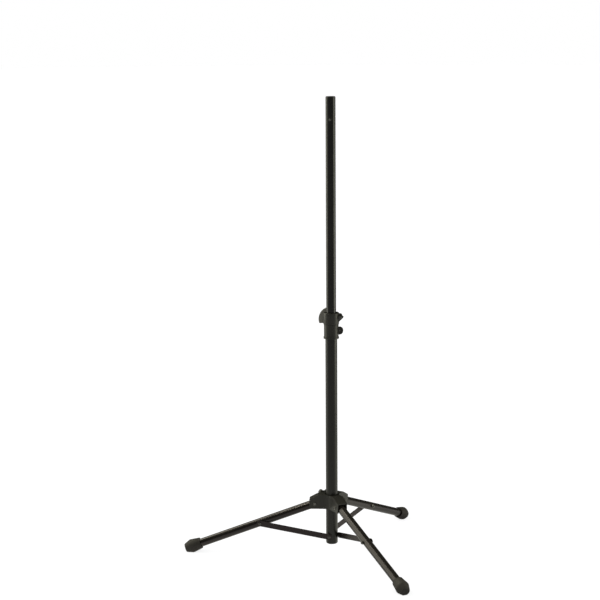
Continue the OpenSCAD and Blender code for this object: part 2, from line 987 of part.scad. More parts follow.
lower_tube();
bottom_plug();
brace_pivot_screws();
brace_pivot_spacers();
clamp_collar();
clamp_liner();
clamp_nut();
collar_screw();
collar_screw_nut();
glide_bush();
upper_tube();
top_insert();
pole_screw();
clamp_lever();
clamp_bolt();
clamp_washer();
hub();
hub_bush();
leg_rivets();
lock_insert();
lock_screw();
lock_knob();
leg_tube(LEFT);  // leg_tube_left
leg_tube(FRONT);  // leg_tube_front
leg_tube(REAR);  // leg_tube_rear
leg_plug(LEFT);  // leg_plug_left
leg_plug(FRONT);  // leg_plug_front
leg_plug(REAR);  // leg_plug_rear
foot(LEFT);  // foot_left
foot(FRONT);  // foot_front
foot(REAR);  // foot_rear
brace_nut(LEFT);  // brace_nut_left
brace_nut(FRONT);  // brace_nut_front
brace_nut(REAR);  // brace_nut_rear
brace(LEFT);  // brace_left
brace(FRONT);  // brace_front
brace(REAR);  // brace_rear
brace_bolt(LEFT);  // brace_bolt_left
brace_bolt(FRONT);  // brace_bolt_front
brace_bolt(REAR);  // brace_bolt_rear
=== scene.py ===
"""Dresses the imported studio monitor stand: detailed pieces, materials, light, floor and camera."""
import json
import math

import bmesh
import bpy
from mathutils import Matrix, Vector


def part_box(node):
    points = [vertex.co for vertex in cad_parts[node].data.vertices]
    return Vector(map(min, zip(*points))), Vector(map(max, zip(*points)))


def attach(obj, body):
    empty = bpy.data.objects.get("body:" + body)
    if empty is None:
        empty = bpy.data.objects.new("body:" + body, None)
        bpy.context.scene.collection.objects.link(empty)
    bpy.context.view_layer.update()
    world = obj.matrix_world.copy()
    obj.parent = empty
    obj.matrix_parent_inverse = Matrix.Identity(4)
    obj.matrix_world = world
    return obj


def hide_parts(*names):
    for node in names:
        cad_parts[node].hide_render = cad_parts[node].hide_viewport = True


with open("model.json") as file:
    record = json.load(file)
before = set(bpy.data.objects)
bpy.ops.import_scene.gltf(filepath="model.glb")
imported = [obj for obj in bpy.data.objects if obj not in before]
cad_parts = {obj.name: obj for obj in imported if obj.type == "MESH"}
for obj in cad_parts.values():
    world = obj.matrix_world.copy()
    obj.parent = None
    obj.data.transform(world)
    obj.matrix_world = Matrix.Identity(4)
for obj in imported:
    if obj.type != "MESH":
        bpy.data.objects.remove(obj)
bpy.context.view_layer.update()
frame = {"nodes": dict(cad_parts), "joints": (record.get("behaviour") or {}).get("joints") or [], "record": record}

MM = 0.001
JOINT_AT = {j["name"]: Vector(j["pos_m"]) / MM for j in frame["joints"] if "pos_m" in j}
BODIES = frame["record"]["behaviour"]["bodies"]
BODY_OF = {name: body for body, names in BODIES.items() for name in names}
SLOT_OF = {part["node"]: part["material_slot"] for part in frame["record"]["subparts"]}


def centre_of(name):
    """Middle of a CAD node's box, in millimetres."""
    low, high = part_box(name)
    return (low + high) / 2 / MM


# Directions about the pole, in degrees from +X
LEGS = {"left": 180.0, "front": 300.0, "rear": 60.0}
LOCK_WAY = 120.0
POLE_SCREW_WAY = 266.0

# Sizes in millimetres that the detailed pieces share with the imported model
POLE_RAD = 17.5
POLE_SCREW_Z = centre_of("pole_screw").z
LEG_RAD = 15.0
LEG_FALL = 164.0
FOOT_R = 505.0
HINGE_R = JOINT_AT["leg_fold_left"].xy.length
HINGE_Z = JOINT_AT["leg_fold_left"].z
LEG_SLOPE = math.atan2(LEG_FALL, FOOT_R - HINGE_R)
LEG_L = math.hypot(LEG_FALL, FOOT_R - HINGE_R)
BRACE_AT = 213.0
BRACE_R = JOINT_AT["brace_fold_left"].xy.length
BRACE_Z = JOINT_AT["brace_fold_left"].z
BOLT_R = HINGE_R + BRACE_AT * math.cos(LEG_SLOPE)
BOLT_Z = HINGE_Z - BRACE_AT * math.sin(LEG_SLOPE)
BRACE_SLOPE = math.atan2(BOLT_Z - BRACE_Z, BOLT_R - BRACE_R)
BRACE_L = math.hypot(BOLT_Z - BRACE_Z, BOLT_R - BRACE_R)
ARM_HALF_W = 19.0
LOCK_Z = JOINT_AT["lock_turn"].z
COLLAR_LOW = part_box("clamp_collar")[0].z / MM
COLLAR_RING_H = 6.0
COLLAR_STEP = COLLAR_LOW + 52.0
LUG_X = JOINT_AT["clamp_turn"].x
CLAMP_Z = JOINT_AT["clamp_turn"].z
CLAMP_BOLT_R = 5.0
COLLAR_SCREW_Z = centre_of("collar_screw").z
COLLAR_SCREW_R = 2.5

# Room left between a piece and what it sits on, and the small flats in the middle of ends and sockets
SEAT_GAP = 0.02
END_FLAT = 0.3
SOCKET_FLAT = 0.15


# Nodes of a material

# A Mix node's sockets for colours share their names with its other sockets, so they go by number
MIX_FIRST = 6
MIX_SECOND = 7
MIX_RESULT = 2


def blank_tree(owner):
    """The emptied node tree of a material or a world."""
    owner.use_nodes = True
    owner.node_tree.nodes.clear()
    return owner.node_tree


def node(tree, kind, inputs=None, **settings):
    """A new node with its settings and the values of its inputs."""
    made = tree.nodes.new(kind)
    for key, value in settings.items():
        setattr(made, key, value)
    for key, value in (inputs or {}).items():
        made.inputs[key].default_value = value
    return made


def wire(tree, source, target):
    """Joins (node, output) to (node, input)."""
    tree.links.new(source[0].outputs[source[1]], target[0].inputs[target[1]])


def maths(tree, kind, *values, clamp=False):
    """A Math node; each value is a number or a (node, output) pair."""
    made = node(tree, "ShaderNodeMath", operation=kind, use_clamp=clamp)
    for k, value in enumerate(values):
        if isinstance(value, tuple):
            wire(tree, value, (made, k))
        else:
            made.inputs[k].default_value = value
    return (made, 0)


def ramp(tree, source, low, high):
    """Runs from one colour to another over the middle of the source's range."""
    made = node(tree, "ShaderNodeValToRGB")
    start, end = made.color_ramp.elements
    start.position = 0.3
    start.color = low
    end.position = 0.7
    end.color = high
    wire(tree, source, (made, "Fac"))
    return (made, "Color")


def fade(tree, source, start, end, low=0.0, high=1.0, kind="LINEAR"):
    """Runs from low to high as the source goes from start to end."""
    ends = {"From Min": start, "From Max": end, "To Min": low, "To Max": high}
    made = node(tree, "ShaderNodeMapRange", ends, interpolation_type=kind)
    wire(tree, source, (made, "Value"))
    return (made, "Result")


def mixed(tree, factor, first, second):
    """Mixes a (node, output) colour with a fixed colour."""
    made = node(tree, "ShaderNodeMix", {MIX_SECOND: second}, data_type="RGBA")
    wire(tree, factor, (made, "Factor"))
    wire(tree, first, (made, MIX_FIRST))
    return (made, MIX_RESULT)


def noise(tree, where, scale, detail=2.0, roughness=0.5):
    """Noise from 0 to 1; scale is in features per metre."""
    made = node(tree, "ShaderNodeTexNoise", {"Scale": scale, "Detail": detail, "Roughness": roughness})
    wire(tree, where, (made, "Vector"))
    return (made, "Fac")


# Parts of a surface's finish

DUST = (0.35, 0.33, 0.30, 1.0)
CLOUD_DEPTH = 0.2  # how far the clouds darken and lighten a colour
GLOSS_SPREAD = 0.05  # how far they change the roughness
RUBBED_MATT = 0.12  # the roughness that a rubbed edge gains
WAVE_SCALE = 260.0  # orange-peel waves per metre


def grey(value):
    """A number as a colour."""
    return (value, value, value, 1.0)


def tone(value, warm=0.07):
    """A dark neutral colour with a touch of olive warmth."""
    return (value * (1 + warm), value, value * (1 - 1.6 * warm), 1.0)


def scaled(colour, share):
    """A colour made darker or lighter."""
    return tuple(c * share for c in colour[:3]) + (1.0,)


def tinted(colour, tint):
    """A colour times a tint, channel by channel."""
    return tuple(c * k for c, k in zip(colour, tint))


def edge_wear_and_shade_share(tree, normal, clouds, edge, edge_r):
    """How far the edge colour covers the finish (rubbed wear; painted shade where darker): in patches where the
    edge's rounded normal leaves the face's own.
    """
    gain = 6.0
    rounded = node(tree, "ShaderNodeBevel", {"Radius": edge_r * MM}, samples=4)
    turn = node(tree, "ShaderNodeVectorMath", operation="DOT_PRODUCT")
    wire(tree, (rounded, "Normal"), (turn, 0))
    wire(tree, normal, (turn, 1))
    turned_by = maths(tree, "SUBTRACT", 1.0, (turn, "Value"))
    at_edge = maths(tree, "MULTIPLY", turned_by, gain, clamp=True)
    patchy = maths(tree, "MULTIPLY", at_edge, clouds)
    return maths(tree, "MULTIPLY", patchy, 2.0 * edge, clamp=True)


def dusty(tree, colour, normal, clouds, dust):
    """A colour with a trace of dust where the surface faces up."""
    facing = node(tree, "ShaderNodeSeparateXYZ")
    wire(tree, normal, (facing, 0))
    upward = maths(tree, "MULTIPLY", (facing, "Z"), clouds, clamp=True)
    lying = maths(tree, "MULTIPLY", upward, dust, clamp=True)
    return mixed(tree, lying, colour, DUST)


def uneven(tree, where, grain, grain_lift, wave_lift):
    """A bump of fine grain and, where the finish has them, slow waves."""
    fine = noise(tree, where, grain)
    height = maths(tree, "MULTIPLY", fine, grain_lift * MM)
    if wave_lift > 0:
        slow = noise(tree, where, WAVE_SCALE, detail=1.0, roughness=0.4)
        height = maths(tree, "ADD", height, maths(tree, "MULTIPLY", slow, wave_lift * MM))
    bump = node(tree, "ShaderNodeBump", {"Strength": 1.0, "Distance": 1.0})
    wire(tree, height, (bump, "Height"))
    return (bump, "Normal")


def finish(name, base, edge_wear_and_shade, rough, specular=0.5, metallic=0.0, cloud=14.0, grain=2400.0, grain_lift=0.02,
           wave_lift=0.0, edge=0.5, edge_r=0.8, dust=0.0, rosy=0.0):
    """A surface with cloudy colour, uneven gloss, grain in its bump, edges in a colour of their own (lighter is
    rubbed wear, darker is painted shade) and a trace of dust.

    Lifts and radii are in millimetres, scales in features per metre; rosy is the share of green taken out.
    """
    tint = (1.0, 1.0 - rosy, 1.0 - rosy / 2, 1.0)
    base = tinted(base, tint)
    edge_wear_and_shade = tinted(edge_wear_and_shade, tint)
    material = bpy.data.materials.new(name)
    tree = blank_tree(material)
    uniform = {"Metallic": metallic, "Specular IOR Level": specular, "Specular Tint": tint}
    shader = node(tree, "ShaderNodeBsdfPrincipled", uniform)
    wire(tree, (shader, "BSDF"), (node(tree, "ShaderNodeOutputMaterial"), "Surface"))
    where = (node(tree, "ShaderNodeTexCoord"), "Object")
    normal = (node(tree, "ShaderNodeNewGeometry"), "Normal")
    clouds = noise(tree, where, cloud, detail=5.0, roughness=0.6)
    # Edge mask: where the edge colour is lighter it is rubbed wear, where darker (the lever) it is painted shade
    rubbed = edge_wear_and_shade_share(tree, normal, clouds, edge, edge_r)

    clouded = ramp(tree, clouds, scaled(base, 1 - CLOUD_DEPTH), scaled(base, 1 + CLOUD_DEPTH))
    colour = mixed(tree, rubbed, clouded, edge_wear_and_shade)
    if dust > 0:
        colour = dusty(tree, colour, normal, clouds, dust)
    wire(tree, colour, (shader, "Base Color"))

    gloss = ramp(tree, clouds, grey(rough - GLOSS_SPREAD), grey(rough + GLOSS_SPREAD))
    wire(tree, maths(tree, "MULTIPLY_ADD", rubbed, RUBBED_MATT, gloss), (shader, "Roughness"))
    wire(tree, uneven(tree, where, grain, grain_lift, wave_lift), (shader, "Normal"))
    return material


# Materials

def powder_coat(name, shade, rough, wave_lift=0.004, rosy=0.0):
    """Satin black powder coat: orange-peel waves, fine grain."""
    return finish(name, base=tone(shade), edge_wear_and_shade=tone(0.045), rough=rough, wave_lift=wave_lift, grain=2000.0,
                  grain_lift=0.0008, dust=0.02, rosy=rosy)


def moulded(name, shade, rough, grain_lift=0.02, warm=0.05, edge_wear_and_shade=2.6):
    """Nylon with a fine spark-eroded grain; its edges are a multiple of its shade: rubbed lighter above 1, painted
    shade below 1.
    """
    return finish(name, base=tone(shade, warm), edge_wear_and_shade=tone(shade * edge_wear_and_shade, warm), rough=rough,
                  grain_lift=grain_lift, edge=0.6)


def plated(name, shade, rough):
    """Dark zinc plate on turned steel."""
    return finish(name, base=tone(shade, 0.02), edge_wear_and_shade=tone(shade * 3.0, 0.02), rough=rough, metallic=0.9,
                  grain=1800.0, grain_lift=0.01, edge=0.8, edge_r=0.5, cloud=220.0)


def rubber(name, shade, rough):
    """Matt rubber, dusty and coarse, with little rubbed off its edges."""
    return finish(name, base=tone(shade, 0.03), edge_wear_and_shade=tone(shade * 2.5, 0.03), rough=rough, specular=0.35,
                  grain=1500.0, grain_lift=0.06, edge=0.3, edge_r=1.2, dust=0.06, rosy=0.04)


def brass(name, rough):
    """Turned brass, brighter where it is rubbed."""
    return finish(name, base=(0.45, 0.30, 0.10, 1.0), edge_wear_and_shade=(0.60, 0.42, 0.16, 1.0), rough=rough,
                  metallic=1.0, grain=1500.0, cloud=200.0)


LOOKS = {
    "lower_tube_paint": powder_coat("lower_tube_paint", shade=0.0080, rough=0.30),
    "upper_tube_paint": powder_coat("upper_tube_paint", shade=0.0035, rough=0.27),
    "leg_paint": powder_coat("leg_paint", shade=0.0080, rough=0.22, wave_lift=0.0006, rosy=0.09),
    "brace_paint": powder_coat("brace_paint", shade=0.012, rough=0.42, rosy=0.14),
    "hub_plastic": moulded("hub_plastic", shade=0.020, rough=0.42),
    "collar_plastic": moulded("collar_plastic", shade=0.018, rough=0.40),
    # The lever's edges are darker than its face: painted shade where its rounded edges turn from the light
    # The lever's shade is set far lighter than the other mouldings' to paint in the light that its front face
    # catches
    "lever_plastic": moulded("lever_plastic", shade=0.185, rough=0.50, warm=0.02, edge_wear_and_shade=0.15),
    "knob_plastic": moulded("knob_plastic", shade=0.020, rough=0.48, warm=0.02),
    "plug_plastic": moulded("plug_plastic", shade=0.012, rough=0.40),
    "liner_plastic": moulded("liner_plastic", shade=0.010, rough=0.35, grain_lift=0.005),
    "foot_rubber": rubber("foot_rubber", shade=0.024, rough=0.60),
    "fastener_steel": plated("fastener_steel", shade=0.12, rough=0.28),
    "rivet_steel": plated("rivet_steel", shade=0.23, rough=0.30),
    "insert_brass": brass("insert_brass", rough=0.32),
}


def wear(obj, slot):
    """The object wears a slot's look and no other."""
    obj.data.materials.clear()
    obj.data.materials.append(LOOKS[slot])


for node_name, node_object in frame["nodes"].items():
    wear(node_object, SLOT_OF[node_name])


# Solids: a solid is a list of points in millimetres and a list of faces

def skin(loops, count, closed=False):
    """Faces over loops of points that lie one after another, each of the same count.

    A closed skin's last loop joins its first; another has a face at either end.
    """
    faces = []
    for j in range(loops if closed else loops - 1):
        low = j * count
        high = (j + 1) % loops * count
        faces += [(low + k, low + (k + 1) % count, high + (k + 1) % count, high + k) for k in range(count)]
    if not closed:
        faces.append(tuple(reversed(range(count))))
        faces.append(tuple((loops - 1) * count + k for k in range(count)))
    return faces


def turned(rings, steps=72, closed=False):
    """A solid turned about Z, from rings that are (z, radius) or (z, radius, outline).

    An outline is a function of the angle, and the ring stays inside it.
    """
    points = []
    for z, radius, *outlines in rings:
        for k in range(steps):
            a = 2 * math.pi * k / steps
            r = min([radius] + [outline(a) for outline in outlines])
            points.append(Vector((r * math.cos(a), r * math.sin(a), z)))
    return points, skin(len(rings), steps, closed)


def six_sided(corner):
    """The outline of a hexagon, from how far out its corners are."""
    return lambda a: corner * math.cos(math.pi / 6) / math.cos(a % (math.pi / 3) - math.pi / 6)


def arc(z, r, radius, start, end, count=8):
    """Rings along an arc about (z, r); angles in degrees from the outward direction towards +Z."""
    turns = [math.radians(start + (end - start) * k / count) for k in range(count + 1)]
    return [(z + radius * math.sin(a), r + radius * math.cos(a)) for a in turns]


def mirrored(rings):
    """The same rings below Z = 0, from the lowest up."""
    return [(-z, r) for z, r in reversed(rings)]


# Places

ALONG_X = Matrix.Rotation(math.radians(90), 4, "Y")
ALONG_Y = Matrix.Rotation(math.radians(-90), 4, "X")
OVER = Matrix.Rotation(math.pi, 4, "X")


def placed(solid, matrix):
    """A solid moved by a matrix."""
    points, faces = solid
    return [matrix @ p for p in points], faces


def shift(x, y, z):
    """A move without a turn."""
    return Matrix.Translation((x, y, z))


def arm_frame(way):
    """X points out from the pole in a direction."""
    return Matrix.Rotation(math.radians(way), 4, "Z")


def leg_frame(side, x):
    """X runs down the leg from its hinge, Y to its left."""
    hinge = shift(HINGE_R, 0, HINGE_Z) @ Matrix.Rotation(LEG_SLOPE, 4, "Y")
    return arm_frame(LEGS[side]) @ hinge @ shift(x, 0, 0)


def brace_frame(side, x=0.0):
    """X runs up the brace from its lower screw, Y to its left."""
    screw = shift(BRACE_R, 0, BRACE_Z) @ Matrix.Rotation(-BRACE_SLOPE, 4, "Y")
    return arm_frame(LEGS[side]) @ screw @ shift(x, 0, 0)


def lug_frame(z):
    """Z runs backward through the collar's lugs."""
    return shift(LUG_X, 0, z) @ ALONG_Y


# Pieces

SAME_POINT = 1e-6  # points this close, in metres, are one
SAME_CAD_POINT = 2e-6  # the same for the points of a CAD node
FLAT_BELOW = 0.4  # a CAD node's faces that meet at less than this, in degrees, are one
SHARP_FROM = 32.0  # an edge sharper than this shows as one
CREASE_FROM = 28.0  # an edge of a CAD node sharper than this is rounded


def linked(name, data):
    """A new object in the scene."""
    obj = bpy.data.objects.new(name, data)
    bpy.context.scene.collection.objects.link(obj)
    return obj


def meshed(name, bm):
    """A new object with the mesh that a bmesh holds."""
    mesh = bpy.data.meshes.new(name)
    bm.to_mesh(mesh)
    bm.free()
    return linked(name, mesh)


def smooth_below(obj, degrees):
    """Smooth shading, apart from edges that are sharper than an angle."""
    for polygon in obj.data.polygons:
        polygon.use_smooth = True
    obj.data.set_sharp_from_angle(angle=math.radians(degrees))


def in_place_of(obj, source):
    """The piece stands for a CAD node: it rides on the node's body and takes its finish."""
    wear(obj, SLOT_OF[source])
    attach(obj, BODY_OF[source])
    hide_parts(source)


def cut_at_floor(bm):
    """Cuts off what is below the floor and closes the cut."""
    cut = bmesh.ops.bisect_plane(bm, geom=bm.verts[:] + bm.edges[:] + bm.faces[:], plane_co=(0, 0, 0),
                                 plane_no=(0, 0, -1), clear_outer=True)
    rim = [part for part in cut["geom_cut"] if isinstance(part, bmesh.types.BMEdge)]
    bmesh.ops.contextual_create(bm, geom=rim)


def piece(name, solids, source, on_floor=False):
    """One object of one or more closed solids in the stand's frame, in place of a CAD node."""
    bm = bmesh.new()
    for points, faces in solids:
        verts = [bm.verts.new(p * MM) for p in points]
        for face in faces:
            bm.faces.new([verts[k] for k in face])
    bmesh.ops.remove_doubles(bm, verts=bm.verts, dist=SAME_POINT)
    if on_floor:
        cut_at_floor(bm)
    bmesh.ops.recalc_face_normals(bm, faces=bm.faces)
    obj = meshed(name, bm)
    smooth_below(obj, SHARP_FROM)
    in_place_of(obj, source)


def crease_widths(bm, width_at):
    """The rounding of each edge where two faces meet at a crease."""
    widths = {}
    for edge in bm.edges:
        if len(edge.link_faces) == 2 and math.degrees(edge.calc_face_angle(0.0)) > CREASE_FROM:
            a, b = edge.link_faces
            middle = (edge.verts[0].co + edge.verts[1].co) / 2 / MM
            widths[edge] = width_at(middle, a.normal, b.normal)
    return widths


def evenly(width):
    """The same rounding at every edge."""
    return lambda *place: width


def softened(name, source, width_at, segments=3):
    """A CAD node's shape with rounded edges: width_at(middle, normal_a, normal_b) in millimetres."""
    bm = bmesh.new()
    bm.from_mesh(frame["nodes"][source].data)
    bmesh.ops.remove_doubles(bm, verts=bm.verts, dist=SAME_CAD_POINT)
    bmesh.ops.dissolve_limit(bm, angle_limit=math.radians(FLAT_BELOW), verts=bm.verts, edges=bm.edges)
    layer = bm.edges.layers.float.new("bevel_weight_edge")
    widths = crease_widths(bm, width_at)
    widest = max(widths.values())
    for edge, width in widths.items():
        edge[layer] = width / widest
    obj = meshed(name, bm)
    smooth_below(obj, CREASE_FROM)
    bevel = obj.modifiers.new("edges", "BEVEL")
    bevel.limit_method = "WEIGHT"
    bevel.width = widest * MM
    bevel.segments = segments
    bevel.use_clamp_overlap = True
    bevel.harden_normals = True
    in_place_of(obj, source)


# Parts of fasteners

def socket(face_z, corner, depth):
    """Rings that run from a head's face down into a hexagon socket."""
    ease, cone = 0.15, 0.6
    sides = six_sided(corner)
    return [(face_z, corner * 1.1), (face_z - ease, corner, sides), (face_z - depth, corner, sides),
            (face_z - depth - cone, SOCKET_FLAT)]


def button_head(start, radius, side, dome, corner, depth):
    """Rings of a domed socket head whose side rises from start, then curves in to its hexagon socket."""
    face = start + side + dome
    ball = (radius ** 2 + dome ** 2) / (2 * dome)
    edge = math.asin(radius / ball)
    rim = math.asin(corner * 1.15 / ball)
    steps = 8
    turns = [edge + (rim - edge) * k / steps for k in range(steps + 1)]
    over = [(face - ball + ball * math.cos(a), ball * math.sin(a)) for a in turns]
    ease = min(0.4, side / 2)
    lip = 0.02
    side_rings = [(start, radius - ease), (start + ease, radius)]
    return side_rings + over + socket(over[-1][0] - lip, corner, depth)


def button_screw(shank, shank_from, head_from, **head):
    """A screw whose plain shank ends in a button head."""
    return turned([(shank_from, shank), (head_from, shank)] + button_head(head_from, **head))


def thread(start, end, radius, pitch, depth):
    """Rings of a screw thread's crests and roots from start to a chamfered end."""
    chamfer = 0.5
    root = radius - depth
    shape = ((0.0, radius), (0.15, radius), (0.5, root), (0.65, root))
    rings = []
    z = start
    while z + pitch < end - chamfer:
        rings += [(z + share * pitch, r) for share, r in shape]
        z += pitch
    return rings + [(z, radius), (end - chamfer, radius), (end, radius - chamfer)]


def hexagon(start, end, corner):
    """Rings of a hexagon whose corners are turned off at both faces."""
    face_r = 0.97 * corner * math.cos(math.pi / 6)
    slope, steps = 1.7, 5
    depth = (corner - face_r) / slope
    sides = six_sided(corner)
    rise = [(depth * k / steps, face_r + slope * depth * k / steps) for k in range(steps + 1)]
    return [(start + z, r, sides) for z, r in rise] + [(end - z, r, sides) for z, r in reversed(rise)]


def nut(start, end, corner, bore):
    """A hexagon nut as a closed ring with a countersunk bore."""
    sink = 0.4
    rings = [(start + sink, bore), (start, bore + sink)] + hexagon(start, end, corner)
    return turned(rings + [(end, bore + sink), (end - sink, bore)], closed=True)


# Fasteners

def build_brace_bolts():
    """Button-head socket bolts that hold the braces to the legs."""
    bolt = button_screw(shank=3.0, shank_from=15.2, head_from=18.85, radius=5.5, side=2.5, dome=1.5,
                        corner=2.3, depth=1.8)
    for side in LEGS:
        solid = placed(bolt, brace_frame(side, BRACE_L) @ ALONG_Y)
        piece(f"brace_bolt_detail_{side}", [solid], f"brace_bolt_{side}")


def build_brace_nuts():
    """Nyloc nuts with the bolts' threaded ends, on the legs' other flank."""
    seat = LEG_RAD + SEAT_GAP
    body_top = seat + 4.9
    cap_top = body_top + 1.6
    cap_r, cap_round = 5.1, 0.8
    stud, stud_end, sink = 3.0, 23.5, 0.3
    rings = hexagon(seat, body_top, corner=6.6) + [(body_top, cap_r)]
    rings += arc(cap_top - cap_round, cap_r - cap_round, cap_round, 0, 90, 5)
    rings += [(cap_top, stud + sink), (cap_top - sink, stud)]
    rings += thread(cap_top - 0.2, stud_end, stud, pitch=0.8, depth=0.3)
    for side in LEGS:
        solid = placed(turned(rings), leg_frame(side, BRACE_AT) @ OVER @ ALONG_Y)
        piece(f"brace_nut_detail_{side}", [solid], f"brace_nut_{side}")


def build_pivot_screws():
    """Low button-head screws on which the braces turn at the floor tube."""
    screw = button_screw(shank=3.0, shank_from=5.0, head_from=25.1, radius=5.5, side=0.6, dome=1.8,
                         corner=2.0, depth=1.4)
    solids = [placed(screw, brace_frame(side) @ ALONG_Y) for side in LEGS]
    piece("brace_pivot_screws_detail", solids, "brace_pivot_screws")


def build_leg_rivets():
    """Tubular rivets through the hub's arms: a rolled rim round a hollow at each end."""
    seat = ARM_HALF_W + SEAT_GAP
    shank, rim, hollow = 4.0, 6.0, 3.6
    lip, lift = 0.3, 2.2
    roll = (rim - hollow) / 2
    turns = [math.radians(a) for a in range(0, 181, 15)]
    head = [(seat, shank), (seat, rim - 0.1)]
    head += [(seat + lip + (lift - lip) * math.sin(a), hollow + roll + roll * math.cos(a)) for a in turns]
    head += [(seat - 1.6, hollow - 0.1), (seat - 2.2, hollow - 0.9), (seat - 2.3, END_FLAT)]
    rivet = turned(mirrored(head) + head)
    at_hinge = shift(HINGE_R, 0, HINGE_Z) @ ALONG_Y
    solids = [placed(rivet, arm_frame(way) @ at_hinge) for way in LEGS.values()]
    piece("leg_rivets_detail", solids, "leg_rivets")


def build_clamp_nut():
    """Hexagon nut of the clamp bolt, let into the front lug."""
    solid = nut(-14.5, -7.5 - SEAT_GAP, corner=9.24, bore=CLAMP_BOLT_R + SEAT_GAP)
    flat_up = Matrix.Rotation(math.radians(15), 4, "Z")
    piece("clamp_nut_detail", [placed(solid, lug_frame(CLAMP_Z) @ flat_up)], "clamp_nut")


def build_clamp_washer():
    """Washer between the rear lug and the lever, with eased edges."""
    low = 9.0 + SEAT_GAP
    high = low + 1.5
    bore = CLAMP_BOLT_R + SEAT_GAP
    rim, ease = 9.0, 0.3
    rings = [(low, bore + ease), (low, rim - ease), (low + ease, rim), (high - ease, rim),
             (high, rim - ease), (high, bore + ease), (high - ease, bore), (low + ease, bore)]
    piece("clamp_washer_detail", [placed(turned(rings, closed=True), lug_frame(CLAMP_Z))], "clamp_washer")


def build_clamp_bolt():
    """Bolt with its threaded end in the nut at the front and a shoulder inside the lever."""
    low = 13.0 + SEAT_GAP
    high = low + 3.0
    end = high + 3.5
    shoulder = 6.5
    threaded = thread(-8.0, 15.5, CLAMP_BOLT_R, pitch=1.25, depth=0.5)
    rings = mirrored(threaded) + [(low, CLAMP_BOLT_R), (low, shoulder), (high, shoulder)]
    rings += [(high, CLAMP_BOLT_R), (end, CLAMP_BOLT_R)]
    piece("clamp_bolt_detail", [placed(turned(rings), lug_frame(CLAMP_Z))], "clamp_bolt")


def build_collar_screw():
    """Socket screw through the lower lugs, its head sunk in the front one."""
    seat = -5.0 - SEAT_GAP
    face = -8.98
    head_r, corner = 4.5, 2.3
    socket_end = face + 2.2
    sides = six_sided(corner)
    rings = [(socket_end + 0.58, SOCKET_FLAT), (socket_end, corner, sides), (face + 0.18, corner, sides),
             (face, corner + 0.25)]
    rings += [(face, head_r - 0.45), (face + 0.48, head_r), (seat - 0.23, head_r), (seat, head_r - 0.2)]
    rings += [(seat, COLLAR_SCREW_R)] + thread(-4.9, 11.0, COLLAR_SCREW_R, pitch=0.8, depth=0.3)
    piece("collar_screw_detail", [placed(turned(rings), lug_frame(COLLAR_SCREW_Z))], "collar_screw")


def build_collar_screw_nut():
    """Hexagon nut of the collar screw, let into the rear lug."""
    solid = nut(6.0 + SEAT_GAP, 10.0, corner=4.6, bore=COLLAR_SCREW_R + SEAT_GAP)
    piece("collar_screw_nut_detail", [placed(solid, lug_frame(COLLAR_SCREW_Z))], "collar_screw_nut")


def build_pole_screw():
    """Button-head screw that holds the insert in the pole's top."""
    screw = button_screw(shank=2.5, shank_from=8.0, head_from=POLE_RAD + SEAT_GAP, radius=4.5, side=0.5,
                         dome=1.9, corner=1.6, depth=1.2)
    place = shift(0, 0, POLE_SCREW_Z) @ arm_frame(POLE_SCREW_WAY) @ ALONG_X
    piece("pole_screw_detail", [placed(screw, place)], "pole_screw")


# Moulded pieces and braces

def hub_edges(middle, a, b):
    """Wide rounding along the arms' upper edges, narrow elsewhere."""
    wide, narrow, arms_from = 2.6, 0.8, 28.0
    up, flank = (a, b) if a.z > b.z else (b, a)
    on_arm = up.z > 0.5 and abs(flank.z) < 0.3 and middle.xy.length > arms_from
    lengthwise = abs(flank.xy.normalized().dot(middle.xy.normalized())) < 0.8
    return wide if on_arm and lengthwise else narrow


def collar_edges(middle, *normals):
    """Wider rounding round the top edge of the bottom ring."""
    wide, narrow, outside_from = 1.3, 0.7, 27.0
    at_ring = abs(middle.z - COLLAR_LOW - COLLAR_RING_H) < 0.1
    return wide if at_ring and middle.xy.length > outside_from else narrow


def build_mouldings():
    """The hub, the collar, the lever and the top insert, each with rounded edges."""
    softened("hub_detail", "hub", hub_edges, segments=4)
    softened("clamp_collar_detail", "clamp_collar", collar_edges)
    softened("clamp_lever_detail", "clamp_lever", evenly(0.9), segments=4)
    softened("top_insert_detail", "top_insert", evenly(0.3))


def build_collar_bead():
    """Thin bead under the collar's step, open where the collar is slit."""
    wall, lift, top = 26.0, 0.9, COLLAR_STEP - 2.0
    slit, steps = math.radians(6.0), 96
    outline = [(-0.3, -1.6), (lift * 0.6, -1.5), (lift, -0.9), (lift * 0.85, -0.4), (-0.3, 0.4)]
    points = []
    for k in range(steps + 1):
        a = slit + (2 * math.pi - 2 * slit) * k / steps
        points += [Vector(((wall + r) * math.cos(a), (wall + r) * math.sin(a), top + z)) for r, z in outline]
    piece("clamp_collar_bead", [(points, skin(steps + 1, len(outline)))], "clamp_collar")


def build_braces():
    """The braces' flat bars with eased edges."""
    for side in LEGS:
        softened(f"brace_detail_{side}", f"brace_{side}", evenly(0.5))


# Feet and knob

def fine_line(start, end, at, depth):
    """Rings of a fine line round the straight side that runs from one ring to another."""
    slope = (end[1] - start[1]) / (end[0] - start[0])
    side_r = start[1] + slope * (at - start[0])
    return [(at - 0.5, side_r - 0.5 * slope), (at, side_r - depth), (at + 0.9, side_r + slope - depth),
            (at + 1.4, side_r + 1.4 * slope)]


